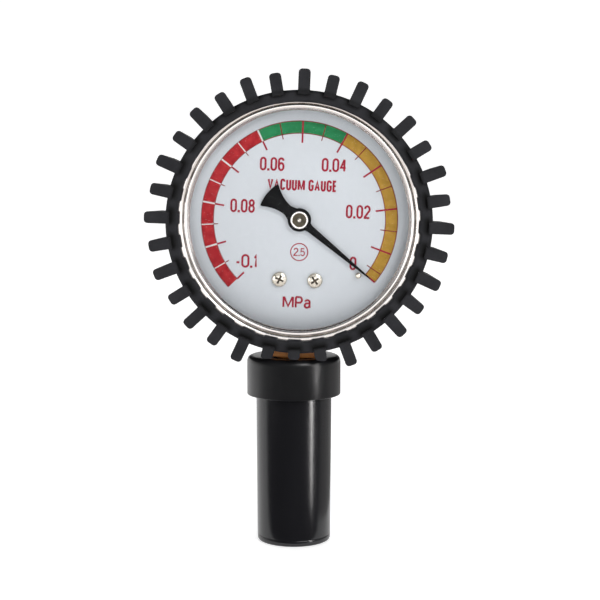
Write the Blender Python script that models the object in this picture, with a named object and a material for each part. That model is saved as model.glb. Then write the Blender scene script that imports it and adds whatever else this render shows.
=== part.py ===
"""Hand-held dial vacuum gauge in a lugged rubber boot, standing on its plug-in barrel.

Millimetres are used for every size below and become metres when a mesh is made.
The origin is the middle of the barrel's lower end, +Z is up, and the dial faces -Y.
Head parts are drawn around the dial centre: x to the right, z up and y towards the back.
"""
import math

import bmesh
import bpy
from mathutils import Matrix, Vector

MM = 0.001
ROUND_STEPS = 48

# The head leans a little to the right on its stem, about a point inside the collar.
LEAN = math.radians(2.2)
LEAN_Z = 46.0
LEAN_TO_DIAL = 41.0

# Barrel and collar, measured from the origin.
BARREL_BOTTOM_R = 9.9
BARREL_TOP_R = 10.2
BARREL_BORE_R = 8.0
BARREL_TOP_Z = 45.2
COLLAR_R = 12.6
COLLAR_HOLE_R = 5.4
COLLAR_SKIRT_BORE_R = 10.55
COLLAR_BOTTOM_Z = 39.9
COLLAR_CEILING_Z = 45.5
COLLAR_TOP_Z = 49.0

# Rubber boot.
BOOT_R = 34.6
BOOT_LIP_R = 30.9
BOOT_HALF_DEPTH = 13.0
LUG_COUNT = 32
LUG_LONG_R = 40.0
LUG_SHORT_R = 39.3
LUG_INNER_R = 33.4
LUG_WIDTH = 2.95
LUG_HALF_DEPTH = 14.0
LUG_TRIM_Z = -36.0
TRIMMED_LUG_SPREAD = 20.0

# Gauge head: depths run from the front, which is negative.
BEZEL_R = 32.5
BEZEL_OPENING_R = 28.5
LENS_R = 30.8
CASE_R = 31.0
CASE_BORE_R = 30.2
CASE_BACK_Y = (10.4, 11.4)
DIAL_R = 29.6
DIAL_Y = (-4.6, -4.1)
DIAL_SCREW_X = 4.7
DIAL_SCREW_Z = -15.9
STOP_PIN_R = 21.4
STOP_PIN_ANGLE = -41.2
CASE_SCREW_X = 3.8
CASE_SCREW_Z = -13.5
VENT_Z = 14.0

# Stem: a turned shank, a square for the spanner and a block that carries the movement.
STEM_HALF = 6.0
SHANK_R = 4.85
SHANK_BOTTOM = -48.2
SHOULDER_Z = -36.4
SQUARE_TOP_Z = -33.0
STEM_BORE_R = 1.6
BORE_TOP_Z = -32.0
NUT_CORNER_R = 7.5
NUT_Z = (-46.9, -42.9)
PORT_Y = 4.5
PORT_Z = -20.4

# Movement.
FRONT_PLATE_Y = (-3.3, -2.6)
BACK_PLATE_Y = (0.2, 0.9)
PLATE_CORNERS = ((-8.0, -18.6), (7.2, -18.6), (7.2, 5.0), (-8.0, 5.0))
PILLARS = {"left": (-6.5, 3.4), "right": (5.8, 3.4), "lower": (-6.5, -12.5)}
MOVEMENT_SCREWS = {"upper": (-3.6, -8.5), "lower": (-3.6, -15.0)}
SECTOR_PIVOT = (3.5, -12.0)
MODULE = 0.25
PINION_TEETH = 10
SECTOR_TEETH = 90
SECTOR_ARC_TEETH = 11
ADDENDUM = 0.2
DEDENDUM = 0.35
TOOTH_TIP = 0.14
TOOTH_PITCH_WIDTH = 0.30
TOOTH_ROOT = 0.36
SECTOR_Y = (-1.9, -1.1)
TAIL_LENGTH = 5.6
TAIL_ANGLE = -25.0
LINK_Y = (-0.8, -0.3)
TIP_PIVOT = (-2.0, 4.8)
TIP_PIN = (13.0, -8.5)
ARBOR_R = 0.55
PIN_R = 0.45
PIN_HOLE_R = 0.8

# Bourdon tube.
TUBE_R = 21.5
TUBE_START = 252.0
TUBE_END = -26.0
TUBE_Y = 4.5
TUBE_HALF_WIDTH = 3.5
TUBE_HALF_THICKNESS = 1.2
TUBE_WALL = 0.35

# Pointer.
ZERO_ANGLE = -37.5
POINTER_Y = (-5.7, -5.4)
POINTER_LENGTH = 24.6
POINTER_HUB_R = 3.1
POINTER_TAIL_R = 11.1

MATERIALS = {
    "boot_rubber": ((0.018, 0.018, 0.020), 0.75, 0.0),
    "chrome": ((0.78, 0.76, 0.74), 0.12, 1.0),
    "clear_lens": ((0.92, 0.95, 0.97), 0.05, 0.0),
    "gasket_rubber": ((0.05, 0.05, 0.05), 0.8, 0.0),
    "black_steel": ((0.03, 0.03, 0.032), 0.45, 0.6),
    "dial_white": ((0.66, 0.70, 0.74), 0.5, 0.0),
    "nickel": ((0.62, 0.60, 0.56), 0.25, 1.0),
    "pointer_black": ((0.008, 0.008, 0.010), 0.4, 0.0),
    "brass": ((0.66, 0.38, 0.14), 0.3, 1.0),
    "bronze": ((0.60, 0.36, 0.20), 0.35, 1.0),
    "steel": ((0.50, 0.50, 0.50), 0.3, 1.0),
    "spring_bronze": ((0.55, 0.33, 0.18), 0.3, 1.0),
    "matte_plastic": ((0.020, 0.020, 0.021), 0.6, 0.0),
    "gloss_plastic": ((0.012, 0.012, 0.013), 0.22, 0.0),
}


def clear_scene():
    for obj in list(bpy.data.objects):
        bpy.data.objects.remove(obj, do_unlink=True)


def material(name):
    found = bpy.data.materials.get(name)
    if found:
        return found
    colour, roughness, metallic = MATERIALS[name]
    made = bpy.data.materials.new(name)
    made.use_nodes = True
    shader = made.node_tree.nodes["Principled BSDF"]
    shader.inputs["Base Color"].default_value = (*colour, 1.0)
    shader.inputs["Roughness"].default_value = roughness
    shader.inputs["Metallic"].default_value = metallic
    return made


def empty(name, location, parent=None):
    frame = bpy.data.objects.new(name, None)
    frame.location = Vector(location) * MM
    frame.parent = parent
    bpy.context.collection.objects.link(frame)
    return frame


def add(name, bm, finish, parent=None, origin=(0.0, 0.0, 0.0)):
    """Turn a millimetre bmesh into a named object whose own origin is at origin."""
    bmesh.ops.recalc_face_normals(bm, faces=bm.faces)
    bmesh.ops.translate(bm, verts=bm.verts, vec=-Vector(origin))
    bmesh.ops.scale(bm, verts=bm.verts, vec=(MM, MM, MM))
    mesh = bpy.data.meshes.new(name)
    bm.to_mesh(mesh)
    bm.free()
    mesh.materials.append(material(finish))
    mesh.shade_smooth()
    mesh.set_sharp_from_angle(angle=math.radians(35.0))
    obj = bpy.data.objects.new(name, mesh)
    obj.location = Vector(origin) * MM
    obj.parent = parent
    bpy.context.collection.objects.link(obj)
    return obj


def bodies(*shapes):
    """Put several bmeshes side by side in one."""
    whole = bmesh.new()
    for shape in shapes:
        scratch = bpy.data.meshes.new("scratch")
        shape.to_mesh(scratch)
        shape.free()
        whole.from_mesh(scratch)
        bpy.data.meshes.remove(scratch)
    return whole


def combine(base, tool, operation):
    """Boolean of two bmeshes, worked out by Blender's exact solver."""
    pair = []
    for shape in (base, tool):
        bmesh.ops.recalc_face_normals(shape, faces=shape.faces)
        mesh = bpy.data.meshes.new("scratch")
        shape.to_mesh(mesh)
        shape.free()
        obj = bpy.data.objects.new("scratch", mesh)
        bpy.context.collection.objects.link(obj)
        pair.append(obj)
    modifier = pair[0].modifiers.new("combine", "BOOLEAN")
    modifier.operation = operation
    modifier.solver = "EXACT"
    modifier.object = pair[1]
    depsgraph = bpy.context.evaluated_depsgraph_get()
    result = bmesh.new()
    result.from_object(pair[0], depsgraph)
    bmesh.ops.remove_doubles(result, verts=result.verts, dist=0.0001)
    for obj in pair:
        mesh = obj.data
        bpy.data.objects.remove(obj, do_unlink=True)
        bpy.data.meshes.remove(mesh)
    return result


def union(base, tool):
    return combine(base, tool, "UNION")


def cut(base, tool):
    return combine(base, tool, "DIFFERENCE")


def turned(profile, axis, steps, centre=(0.0, 0.0, 0.0)):
    """Spin a profile of (radius, distance along the axis) round +Y or +Z."""
    bm = bmesh.new()
    verts = []
    for radius, along in profile:
        place = (radius, along, 0.0) if axis == "Y" else (radius, 0.0, along)
        verts.append(bm.verts.new(place))
    for first, second in zip(verts, verts[1:]):
        bm.edges.new((first, second))
    if profile[0][0] > 0.0:
        bm.edges.new((verts[-1], verts[0]))
    direction = (0.0, 1.0, 0.0) if axis == "Y" else (0.0, 0.0, 1.0)
    bmesh.ops.spin(
        bm, geom=bm.verts[:] + bm.edges[:], cent=(0.0, 0.0, 0.0), axis=direction,
        dvec=(0.0, 0.0, 0.0), angle=math.tau, steps=steps, use_duplicate=False,
    )
    bmesh.ops.remove_doubles(bm, verts=bm.verts, dist=0.0001)
    bmesh.ops.recalc_face_normals(bm, faces=bm.faces)
    bmesh.ops.translate(bm, verts=bm.verts, vec=centre)
    return bm


def rod(radius, low, high, axis="Y", centre=(0.0, 0.0, 0.0), steps=12):
    return turned([(0.0, low), (radius, low), (radius, high), (0.0, high)], axis, steps, centre)


def ring(inner, outer, low, high, axis="Y", centre=(0.0, 0.0, 0.0), steps=16):
    corners = [(inner, low), (outer, low), (outer, high), (inner, high)]
    return turned(corners, axis, steps, centre)


def plate(outline, low, high, centre=(0.0, 0.0)):
    """Extrude an outline of (x, z) points from y = low to y = high."""
    bm = bmesh.new()
    face = bm.faces.new([bm.verts.new((x, low, z)) for x, z in outline])
    grown = bmesh.ops.extrude_face_region(bm, geom=[face])["geom"]
    moved = [item for item in grown if isinstance(item, bmesh.types.BMVert)]
    bmesh.ops.translate(bm, verts=moved, vec=(0.0, high - low, 0.0))
    bmesh.ops.translate(bm, verts=bm.verts, vec=(centre[0], 0.0, centre[1]))
    bmesh.ops.recalc_face_normals(bm, faces=bm.faces)
    return bm


def box(x, y, z):
    """A block between pairs of limits."""
    corners = [(x[0], z[0]), (x[1], z[0]), (x[1], z[1]), (x[0], z[1])]
    return plate(corners, y[0], y[1])


def polar(radius, degrees):
    angle = math.radians(degrees)
    return radius * math.cos(angle), radius * math.sin(angle)


def arc(radius, start, stop, steps, centre=(0.0, 0.0)):
    points = []
    for step in range(steps + 1):
        x, z = polar(radius, start + (stop - start) * step / steps)
        points.append((centre[0] + x, centre[1] + z))
    return points


def strap(first, second, first_r, second_r):
    """Outline of a flat bar with round ends at two points."""
    heading = math.degrees(math.atan2(second[1] - first[1], second[0] - first[0]))
    return (arc(first_r, heading + 90.0, heading + 270.0, 8, first)
            + arc(second_r, heading - 90.0, heading + 90.0, 8, second))


def gear_outline(pitch_r, teeth, first, count, offset):
    """Tooth corners of count teeth, the first one centred offset degrees round."""
    points = []
    for tooth in range(first, first + count):
        middle = offset + 360.0 * tooth / teeth
        flank = ((pitch_r - DEDENDUM, TOOTH_ROOT), (pitch_r, TOOTH_PITCH_WIDTH),
                 (pitch_r + ADDENDUM, TOOTH_TIP))
        for radius, width in flank:
            points.append(polar(radius, middle - math.degrees(width / 2.0 / radius)))
        for radius, width in reversed(flank):
            points.append(polar(radius, middle + math.degrees(width / 2.0 / radius)))
    return points


def tail_pin_place():
    x, z = polar(TAIL_LENGTH, TAIL_ANGLE)
    return SECTOR_PIVOT[0] + x, SECTOR_PIVOT[1] + z


def at(point, y=0.0):
    return point[0], y, point[1]


def screw(name, place, head_y, shank_r, shank_end, head_r, head_height, parent, finish):
    """Cross-slotted pan-head screw whose head stands off from head_y towards the shank's tail."""
    away = 1.0 if shank_end < head_y else -1.0
    top = head_y + away * head_height
    profile = [(0.0, top), (head_r * 0.6, top), (head_r, head_y + away * head_height * 0.45),
               (head_r, head_y), (shank_r, head_y), (shank_r, shank_end), (0.0, shank_end)]
    body = turned(profile, "Y", 16)
    slot_depth = head_height * 0.55
    slot_y = sorted((top - away * slot_depth, top + away))
    half_width = head_r * 0.1
    half_length = head_r * 0.55
    cross = union(box((-half_length, half_length), slot_y, (-half_width, half_width)),
                  box((-half_width, half_width), slot_y, (-half_length, half_length)))
    body = cut(body, cross)
    bmesh.ops.translate(body, verts=body.verts, vec=at(place))
    return add(name, body, finish, parent, at(place))


def lug_outline(tip_r):
    """A lug that lies along +X with rounded corners at its tip and its inner end."""
    half = LUG_WIDTH / 2.0
    tip_round = 1.1
    inner_round = 0.6
    return (arc(tip_round, 0.0, 90.0, 2, (tip_r - tip_round, half - tip_round))
            + arc(inner_round, 90.0, 180.0, 1, (LUG_INNER_R + inner_round, half - inner_round))
            + arc(inner_round, 180.0, 270.0, 1, (LUG_INNER_R + inner_round, inner_round - half))
            + arc(tip_round, 270.0, 360.0, 2, (tip_r - tip_round, tip_round - half)))


def rubber_boot(head):
    front = -BOOT_HALF_DEPTH
    back = BOOT_HALF_DEPTH
    shell = turned([
        (BOOT_LIP_R, front + 0.3), (BOOT_LIP_R + 0.4, front), (BOOT_R - 0.8, front),
        (BOOT_R, front + 0.8), (BOOT_R, back - 0.8), (BOOT_R - 0.8, back), (26.0, back),
        (26.0, 11.7), (31.5, 11.7), (31.5, -3.2), (32.9, -3.2), (32.9, -11.2),
        (BOOT_LIP_R, -11.2),
    ], "Y", ROUND_STEPS)
    lugs = []
    for index in range(LUG_COUNT):
        angle = 360.0 * index / LUG_COUNT
        lug = plate(lug_outline(LUG_LONG_R if index % 2 == 0 else LUG_SHORT_R),
                    -LUG_HALF_DEPTH, LUG_HALF_DEPTH)
        bmesh.ops.rotate(lug, verts=lug.verts, matrix=Matrix.Rotation(math.radians(-angle), 3, "Y"))
        if abs(angle - 270.0) < TRIMMED_LUG_SPREAD:
            lug = cut(lug, box((-15.0, 15.0), (-20.0, 20.0), (-50.0, LUG_TRIM_Z)))
        lugs.append(lug)
    boot = union(shell, bodies(*lugs))
    slot = STEM_HALF + 0.6
    boot = cut(boot, box((-slot, slot), (-slot, slot), (-50.0, -25.0)))
    add("rubber_boot", boot, "boot_rubber", head)


def window(head):
    bezel = turned([
        (31.4, -3.6), (BEZEL_R, -3.6), (BEZEL_R, -10.5), (BEZEL_R - 0.4, -10.9), (30.5, -10.9),
        (30.2, -10.5), (29.9, -10.8), (29.5, -10.8), (BEZEL_OPENING_R, -9.9),
        (BEZEL_OPENING_R, -9.6), (31.4, -9.6),
    ], "Y", ROUND_STEPS)
    add("bezel_ring", bezel, "chrome", head)
    add("window_lens", rod(LENS_R, -9.3, -7.5, steps=ROUND_STEPS), "clear_lens", head)
    add("window_gasket", ring(29.4, LENS_R, -7.2, -6.5, steps=ROUND_STEPS), "gasket_rubber", head)


def case(head):
    inner_back, outer_back = CASE_BACK_Y
    shell = turned([
        (0.0, inner_back), (CASE_BORE_R, inner_back), (CASE_BORE_R, -6.2), (CASE_R, -6.2),
        (CASE_R, outer_back - 0.8), (CASE_R - 0.8, outer_back), (0.0, outer_back),
    ], "Y", ROUND_STEPS)
    shell = cut(shell, box((-6.4, 6.4), (-3.5, 5.3), (-32.0, -27.0)))
    holes = [rod(1.3, 9.0, 13.0, centre=(side * CASE_SCREW_X, 0.0, CASE_SCREW_Z))
             for side in (-1, 1)]
    holes.append(rod(3.5, 9.0, 13.0, centre=(0.0, 0.0, VENT_Z), steps=24))
    add("case_shell", cut(shell, bodies(*holes)), "black_steel", head)
    for name, side in (("left", -1), ("right", 1)):
        screw(f"case_screw_{name}", (side * CASE_SCREW_X, CASE_SCREW_Z), 11.7, 1.0, 6.2,
              2.0, 1.0, head, "nickel")
    plug = turned([(0.0, 9.9), (3.1, 9.9), (3.1, 11.7), (5.0, 11.7), (5.0, 12.3), (4.2, 12.8),
                   (0.0, 12.8)], "Y", 24, (0.0, 0.0, VENT_Z))
    add("case_vent_plug", plug, "gasket_rubber", head)


def dial(head):
    disc = rod(DIAL_R, *DIAL_Y, steps=ROUND_STEPS)
    stop = polar(STOP_PIN_R, STOP_PIN_ANGLE)
    holes = bodies(
        rod(2.6, -6.0, -3.0, steps=24),
        rod(1.1, -6.0, -3.0, centre=(DIAL_SCREW_X, 0.0, DIAL_SCREW_Z)),
        rod(1.1, -6.0, -3.0, centre=(-DIAL_SCREW_X, 0.0, DIAL_SCREW_Z)),
        rod(0.75, -6.0, -3.0, centre=at(stop)),
    )
    add("dial_plate", cut(disc, holes), "dial_white", head)
    for name, side in (("left", -1), ("right", 1)):
        place = (side * DIAL_SCREW_X, DIAL_SCREW_Z)
        screw(f"dial_screw_{name}", place, -4.8, 0.8, -2.3, 2.05, 0.9, head, "nickel")
        spacer = ring(1.15, 1.9, -3.95, -3.45, centre=at(place), steps=20)
        add(f"dial_spacer_{name}", spacer, "brass", head, at(place))
    pin = turned([(0.0, -6.3), (0.5, -6.3), (0.8, -6.0), (0.8, -4.85), (0.45, -4.85),
                  (0.45, -3.7), (0.0, -3.7)], "Y", 12, at(stop))
    add("stop_pin", pin, "nickel", head)


def stem(head):
    side = [(-6.0, SHOULDER_Z), (6.0, SHOULDER_Z), (6.0, SQUARE_TOP_Z), (5.0, SQUARE_TOP_Z),
            (5.0, -26.0), (10.1, -22.0), (10.1, -6.0), (1.4, -6.0), (1.4, -24.0),
            (-3.2, -24.0), (-3.2, SQUARE_TOP_Z), (-6.0, SQUARE_TOP_Z)]
    block = plate(side, -STEM_HALF, STEM_HALF)
    for vert in block.verts:
        vert.co = (vert.co.y, vert.co.x, vert.co.z)
    shank = turned([(0.0, SHANK_BOTTOM), (SHANK_R - 0.7, SHANK_BOTTOM),
                    (SHANK_R, SHANK_BOTTOM + 0.7), (SHANK_R, -35.0), (0.0, -35.0)], "Z", 32)
    block = union(block, shank)
    rise = Vector((0.0, PORT_Y, PORT_Z - BORE_TOP_Z))
    slant = rod(0.8, 0.0, rise.length + 0.3, axis="Z")
    turn = rise.to_track_quat("Z", "Y").to_matrix()
    bmesh.ops.rotate(slant, verts=slant.verts, matrix=turn)
    bmesh.ops.translate(slant, verts=slant.verts, vec=(0.0, 0.0, BORE_TOP_Z))
    port = rod(1.1, -6.5, 0.7, axis="Z")
    bmesh.ops.rotate(port, verts=port.verts, matrix=Matrix.Rotation(math.radians(90.0), 3, "Y"))
    bmesh.ops.translate(port, verts=port.verts, vec=(0.0, PORT_Y, PORT_Z))
    passage = union(union(rod(STEM_BORE_R, -50.0, BORE_TOP_Z + 1.0, axis="Z"), slant), port)
    block = cut(block, passage)
    tapped = [rod(0.8, 1.0, 4.6, centre=at(place)) for place in MOVEMENT_SCREWS.values()]
    tapped += [rod(1.3, 5.5, 11.0, centre=(sign * CASE_SCREW_X, 0.0, CASE_SCREW_Z))
               for sign in (-1, 1)]
    add("stem_socket", cut(block, bodies(*tapped)), "brass", head)
    restrictor = rod(1.3, SHANK_BOTTOM + 0.2, SHANK_BOTTOM + 3.2, axis="Z")
    bleed = rod(0.35, -50.0, -40.0, axis="Z", steps=12)
    groove = box((-2.0, 2.0), (-0.2, 0.2), (-50.0, SHANK_BOTTOM + 0.9))
    add("restrictor_screw", cut(cut(restrictor, groove), bleed), "brass", head)
    nut = plate(arc(NUT_CORNER_R, 0.0, 300.0, 5), *NUT_Z)
    bmesh.ops.rotate(nut, verts=nut.verts, matrix=Matrix.Rotation(math.radians(90.0), 3, "X"))
    add("lock_nut", cut(nut, rod(5.2, -60.0, -30.0, axis="Z", steps=32)), "nickel", head)
    add("lock_washer", ring(5.25, 7.2, -42.6, -41.95, axis="Z", steps=32), "steel", head)


def movement(head):
    drilled = [rod(0.75, -5.0, 2.0), rod(0.85, -5.0, 2.0, centre=at(SECTOR_PIVOT))]
    drilled += [rod(0.95, -5.0, 2.0, centre=at(place)) for place in PILLARS.values()]
    front_holes = [rod(1.2, -5.0, 0.0, centre=(side * DIAL_SCREW_X, 0.0, DIAL_SCREW_Z))
                   for side in (-1, 1)]
    back_holes = [rod(0.8, 0.0, 2.0, centre=at(place)) for place in MOVEMENT_SCREWS.values()]
    stud = (-5.2, 1.9)
    back_holes.append(rod(0.7, 0.0, 2.0, centre=at(stud)))
    back_drilled = [hole.copy() for hole in drilled]
    front = cut(plate(PLATE_CORNERS, *FRONT_PLATE_Y), bodies(*drilled, *front_holes))
    add("movement_front_plate", front, "brass", head)
    back = cut(plate(PLATE_CORNERS, *BACK_PLATE_Y), bodies(*back_drilled, *back_holes))
    add("movement_back_plate", back, "brass", head)
    for name, place in PILLARS.items():
        pillar = turned([(0.0, -3.5), (0.6, -3.5), (0.6, -2.3), (1.3, -2.3), (1.3, -0.1),
                         (0.6, -0.1), (0.6, 1.2), (0.0, 1.2)], "Y", 12, at(place))
        add(f"movement_pillar_{name}", pillar, "brass", head, at(place))
    for name, place in MOVEMENT_SCREWS.items():
        screw(f"movement_screw_{name}", place, -0.1, 0.5, 4.2, 1.3, 0.6, head, "nickel")
    stud_pin = rod(0.4, -0.65, 0.9, centre=at(stud))
    add("hairspring_stud", stud_pin, "brass", head)
    coil = hairspring_strip(1.5, 4.45, 4.25, math.degrees(math.atan2(stud[1], stud[0])))
    add("hairspring", coil, "spring_bronze", head)


def hairspring_strip(inner_r, outer_r, turns, end_angle):
    """Flat spiral strip that ends beside its stud."""
    half_thickness = 0.07
    low, high = -0.6, -0.15
    steps = int(turns * 16)
    bm = bmesh.new()
    loops = []
    for step in range(steps + 1):
        share = step / steps
        angle = end_angle - 360.0 * turns * (1.0 - share)
        radius = inner_r + (outer_r - inner_r) * share
        loops.append([
            bm.verts.new((*polar(radius + side * half_thickness, angle), y))
            for side, y in ((-1, low), (1, low), (1, high), (-1, high))
        ])
    for vert in bm.verts:
        vert.co = (vert.co.x, vert.co.z, vert.co.y)
    for first, second in zip(loops, loops[1:]):
        for corner in range(4):
            following = (corner + 1) % 4
            bm.faces.new((first[corner], first[following], second[following], second[corner]))
    bm.faces.new(loops[0])
    bm.faces.new(loops[-1])
    return bm


def sector(head):
    axis = empty("sector_axis", at(SECTOR_PIVOT), head)
    pitch_r = MODULE * SECTOR_TEETH / 2.0
    to_pinion = math.degrees(math.atan2(-SECTOR_PIVOT[1], -SECTOR_PIVOT[0]))
    teeth = gear_outline(pitch_r, SECTOR_TEETH, -1, SECTOR_ARC_TEETH, to_pinion)
    fan = plate([(0.0, 0.0), *teeth], *SECTOR_Y)
    tail = plate(strap((0.0, 0.0), polar(TAIL_LENGTH, TAIL_ANGLE), 2.1, 1.5), *SECTOR_Y)
    gear = union(fan, tail)
    middle = to_pinion + 360.0 / SECTOR_TEETH * (SECTOR_ARC_TEETH - 3) / 2.0
    holes = bodies(rod(0.85, -3.0, 0.0), rod(1.5, -3.0, 0.0, centre=at(polar(6.6, middle))),
                   rod(PIN_HOLE_R, -3.0, 0.0, centre=at(polar(TAIL_LENGTH, TAIL_ANGLE))))
    add("sector_gear", cut(gear, holes), "brass", axis)
    arbor = turned([(0.0, -3.2), (ARBOR_R, -3.2), (ARBOR_R, -0.75), (1.2, -0.75), (1.2, -0.15),
                    (ARBOR_R, -0.15), (ARBOR_R, 0.9), (0.0, 0.9)], "Y", 12)
    add("sector_arbor", arbor, "steel", axis)
    tail_pin = turned([(0.0, -2.35), (0.85, -2.35), (0.85, -2.15), (PIN_R, -2.15),
                       (PIN_R, -0.05), (0.0, -0.05)], "Y", 12)
    bmesh.ops.translate(tail_pin, verts=tail_pin.verts, vec=at(polar(TAIL_LENGTH, TAIL_ANGLE)))
    add("link_tail_pin", tail_pin, "steel", axis, at(polar(TAIL_LENGTH, TAIL_ANGLE)))


def link(head):
    tail_pin = tail_pin_place()
    axis = empty("link_axis", at(tail_pin), head)
    reach = (TIP_PIN[0] - tail_pin[0], TIP_PIN[1] - tail_pin[1])
    bar = plate(strap((0.0, 0.0), reach, 1.35, 1.45), *LINK_Y)
    holes = bodies(rod(PIN_HOLE_R, -2.0, 1.0), rod(PIN_HOLE_R + 0.05, -2.0, 1.0, centre=at(reach)))
    add("link_bar", cut(bar, holes), "brass", axis)


def tube_tip(head):
    axis = empty("tip_axis", at(TIP_PIVOT), head)
    start = TUBE_END - 0.9
    stop = start - 8.0
    inner_r = TUBE_R - 1.7
    outer_r = TUBE_R + 1.7
    cap = plate(arc(inner_r, stop, start, 3) + arc(outer_r, start, stop, 3), 0.1, 8.0)
    root = polar(TUBE_R - 1.0, (start + stop) / 2.0 - 0.6)
    ear = plate(strap(root, TIP_PIN, 1.2, 1.5), 0.1, 0.9)
    block = cut(union(cap, ear), rod(PIN_HOLE_R, -1.0, 2.0, centre=at(TIP_PIN)))
    bmesh.ops.translate(block, verts=block.verts, vec=-Vector(at(TIP_PIVOT)))
    add("tip_block", block, "brass", axis)
    pin = turned([(0.0, -1.4), (0.8, -1.4), (0.8, -1.1), (PIN_R, -1.1), (PIN_R, 0.9),
                  (0.0, 0.9)], "Y", 12)
    offset = Vector(at(TIP_PIN)) - Vector(at(TIP_PIVOT))
    bmesh.ops.translate(pin, verts=pin.verts, vec=offset)
    add("link_tip_pin", pin, "steel", axis, offset)


def oval(half_width, half_thickness):
    """Flattened section: (outward, backward) points of two flats and two round ends."""
    straight = half_width - half_thickness
    return [(half_thickness * math.cos(turn), side * straight + half_thickness * math.sin(turn))
            for side, angles in ((1, (0, 60, 120, 180)), (-1, (180, 240, 300, 360)))
            for turn in map(math.radians, angles)]


def bourdon_tube(head):
    outer = oval(TUBE_HALF_WIDTH, TUBE_HALF_THICKNESS)
    inner = oval(TUBE_HALF_WIDTH - TUBE_WALL, TUBE_HALF_THICKNESS - TUBE_WALL)
    steps = 20
    bm = bmesh.new()
    loops = {"outer": [], "inner": []}
    for step in range(steps + 1):
        angle = TUBE_START + (TUBE_END - TUBE_START) * step / steps
        for name, section in (("outer", outer), ("inner", inner)):
            loop = []
            for outward, backward in section:
                x, z = polar(TUBE_R + outward, angle)
                loop.append(bm.verts.new((x, TUBE_Y + backward, z)))
            loops[name].append(loop)
    for skin in loops.values():
        for first, second in zip(skin, skin[1:]):
            for corner in range(len(first)):
                following = (corner + 1) % len(first)
                bm.faces.new((first[corner], first[following], second[following], second[corner]))
    for end in (0, -1):
        outside, inside = loops["outer"][end], loops["inner"][end]
        for corner in range(len(outside)):
            following = (corner + 1) % len(outside)
            bm.faces.new((outside[corner], outside[following], inside[following], inside[corner]))
    add("bourdon_tube", bm, "bronze", head)


def pointer_outline():
    """Needle along +X with a round hub and a fan-shaped counterweight."""
    blade = 0.85
    neck = 1.3
    tip = 0.2
    tail_half_angle = 21.0
    corner = polar(POINTER_TAIL_R - 0.5, 180.0 - tail_half_angle)
    from_blade = math.degrees(math.asin(blade / POINTER_HUB_R))
    to_neck = 180.0 - math.degrees(math.asin(neck / POINTER_HUB_R))
    start = polar(POINTER_HUB_R, to_neck)
    pull = (-6.6, 1.25)
    upper = [(POINTER_LENGTH, 0.0), (POINTER_LENGTH - 0.3, tip)]
    upper += arc(POINTER_HUB_R, from_blade, to_neck, 8)
    for step in range(1, 6):
        share = step / 6.0
        keep = 1.0 - share
        upper.append(tuple(keep * keep * start[i] + 2.0 * keep * share * pull[i]
                           + share * share * corner[i] for i in (0, 1)))
    upper.append(corner)
    upper += arc(POINTER_TAIL_R, 180.0 - tail_half_angle + 2.0, 180.0, 4)
    lower = [(x, -z) for x, z in reversed(upper[1:-1])]
    return upper + lower


def pointer(head):
    axis = empty("pointer_axis", (0.0, 0.0, 0.0), head)
    needle = cut(plate(pointer_outline(), *POINTER_Y), rod(0.85, -7.0, -4.0))
    turn = Matrix.Rotation(math.radians(-ZERO_ANGLE), 3, "Y")
    bmesh.ops.rotate(needle, verts=needle.verts, matrix=turn)
    add("pointer_needle", needle, "pointer_black", axis)
    boss = turned([(0.85, -6.0), (2.3, -6.0), (2.3, -6.7), (2.1, -6.9), (1.85, -6.9),
                   (1.7, -6.7), (0.85, -6.7)], "Y", 24)
    add("pointer_boss", boss, "brass", axis)
    arbor = rod(ARBOR_R, -6.95, 1.1)
    from_pinion = math.degrees(math.atan2(SECTOR_PIVOT[1], SECTOR_PIVOT[0]))
    half_pitch = 180.0 / PINION_TEETH
    teeth = gear_outline(MODULE * PINION_TEETH / 2.0, PINION_TEETH, 0, PINION_TEETH,
                         from_pinion + half_pitch)
    add("pinion_arbor", union(arbor, plate(teeth, -2.2, -0.8)), "steel", axis)
    collet = ring(0.8, 1.25, -0.6, -0.15)
    add("hairspring_collet", collet, "brass", axis)


def barrel():
    tube = turned([
        (BARREL_BORE_R, 0.3), (BARREL_BORE_R + 0.3, 0.0), (BARREL_BOTTOM_R - 0.9, 0.0),
        (BARREL_BOTTOM_R - 0.25, 0.3), (BARREL_BOTTOM_R, 0.95), (BARREL_TOP_R, BARREL_TOP_Z),
        (BARREL_BORE_R, BARREL_TOP_Z),
    ], "Z", ROUND_STEPS)
    add("barrel_tube", tube, "gloss_plastic")
    cap = turned([
        (COLLAR_HOLE_R, COLLAR_TOP_Z), (COLLAR_R - 1.8, COLLAR_TOP_Z),
        (COLLAR_R - 0.8, COLLAR_TOP_Z - 0.35), (COLLAR_R - 0.2, COLLAR_TOP_Z - 1.0),
        (COLLAR_R, COLLAR_TOP_Z - 1.8), (COLLAR_R, COLLAR_BOTTOM_Z + 0.3),
        (COLLAR_R - 0.3, COLLAR_BOTTOM_Z), (COLLAR_SKIRT_BORE_R, COLLAR_BOTTOM_Z),
        (COLLAR_SKIRT_BORE_R, COLLAR_CEILING_Z), (COLLAR_HOLE_R, COLLAR_CEILING_Z),
    ], "Z", ROUND_STEPS)
    add("collar_cap", cap, "matte_plastic")
    washer = ring(COLLAR_HOLE_R, 7.4, COLLAR_TOP_Z + 0.3, COLLAR_TOP_Z + 1.1, axis="Z", steps=32)
    add("sealing_washer", washer, "gasket_rubber")


def main():
    clear_scene()
    centre = (LEAN_TO_DIAL * math.sin(LEAN), 0.0, LEAN_Z + LEAN_TO_DIAL * math.cos(LEAN))
    head = empty("head_frame", centre)
    head.rotation_euler = (0.0, LEAN, 0.0)
    barrel()
    rubber_boot(head)
    window(head)
    case(head)
    dial(head)
    stem(head)
    movement(head)
    sector(head)
    link(head)
    tube_tip(head)
    bourdon_tube(head)
    pointer(head)


main()
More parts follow.
